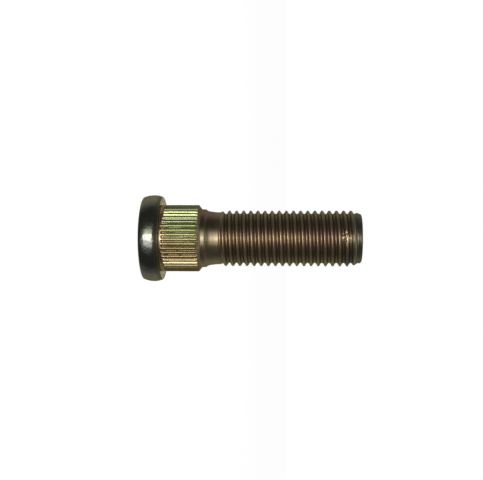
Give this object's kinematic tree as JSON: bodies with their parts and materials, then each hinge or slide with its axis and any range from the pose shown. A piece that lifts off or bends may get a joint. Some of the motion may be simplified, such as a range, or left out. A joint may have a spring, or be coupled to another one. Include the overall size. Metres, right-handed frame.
{
  "type": "wheel stud",
  "caption": "Press-in wheel stud with a flat round head, a serrated neck, a stepped shoulder and a rolled metric thread.",
  "frame": {"origin": "centre of the head's flat end face, on the surface that the stud stands on", "axes": "+Z along the stud's axis from the head to the threaded tip; X and Y are radial, with a serration's crest on +X"},
  "size_m": [0.0184, 0.0184, 0.0459],
  "materials": {
    "plated_steel": "satin"
  },
  "bodies": {
    "root": {"wheel_stud": "plated_steel"}
  },
  "joints": []
}
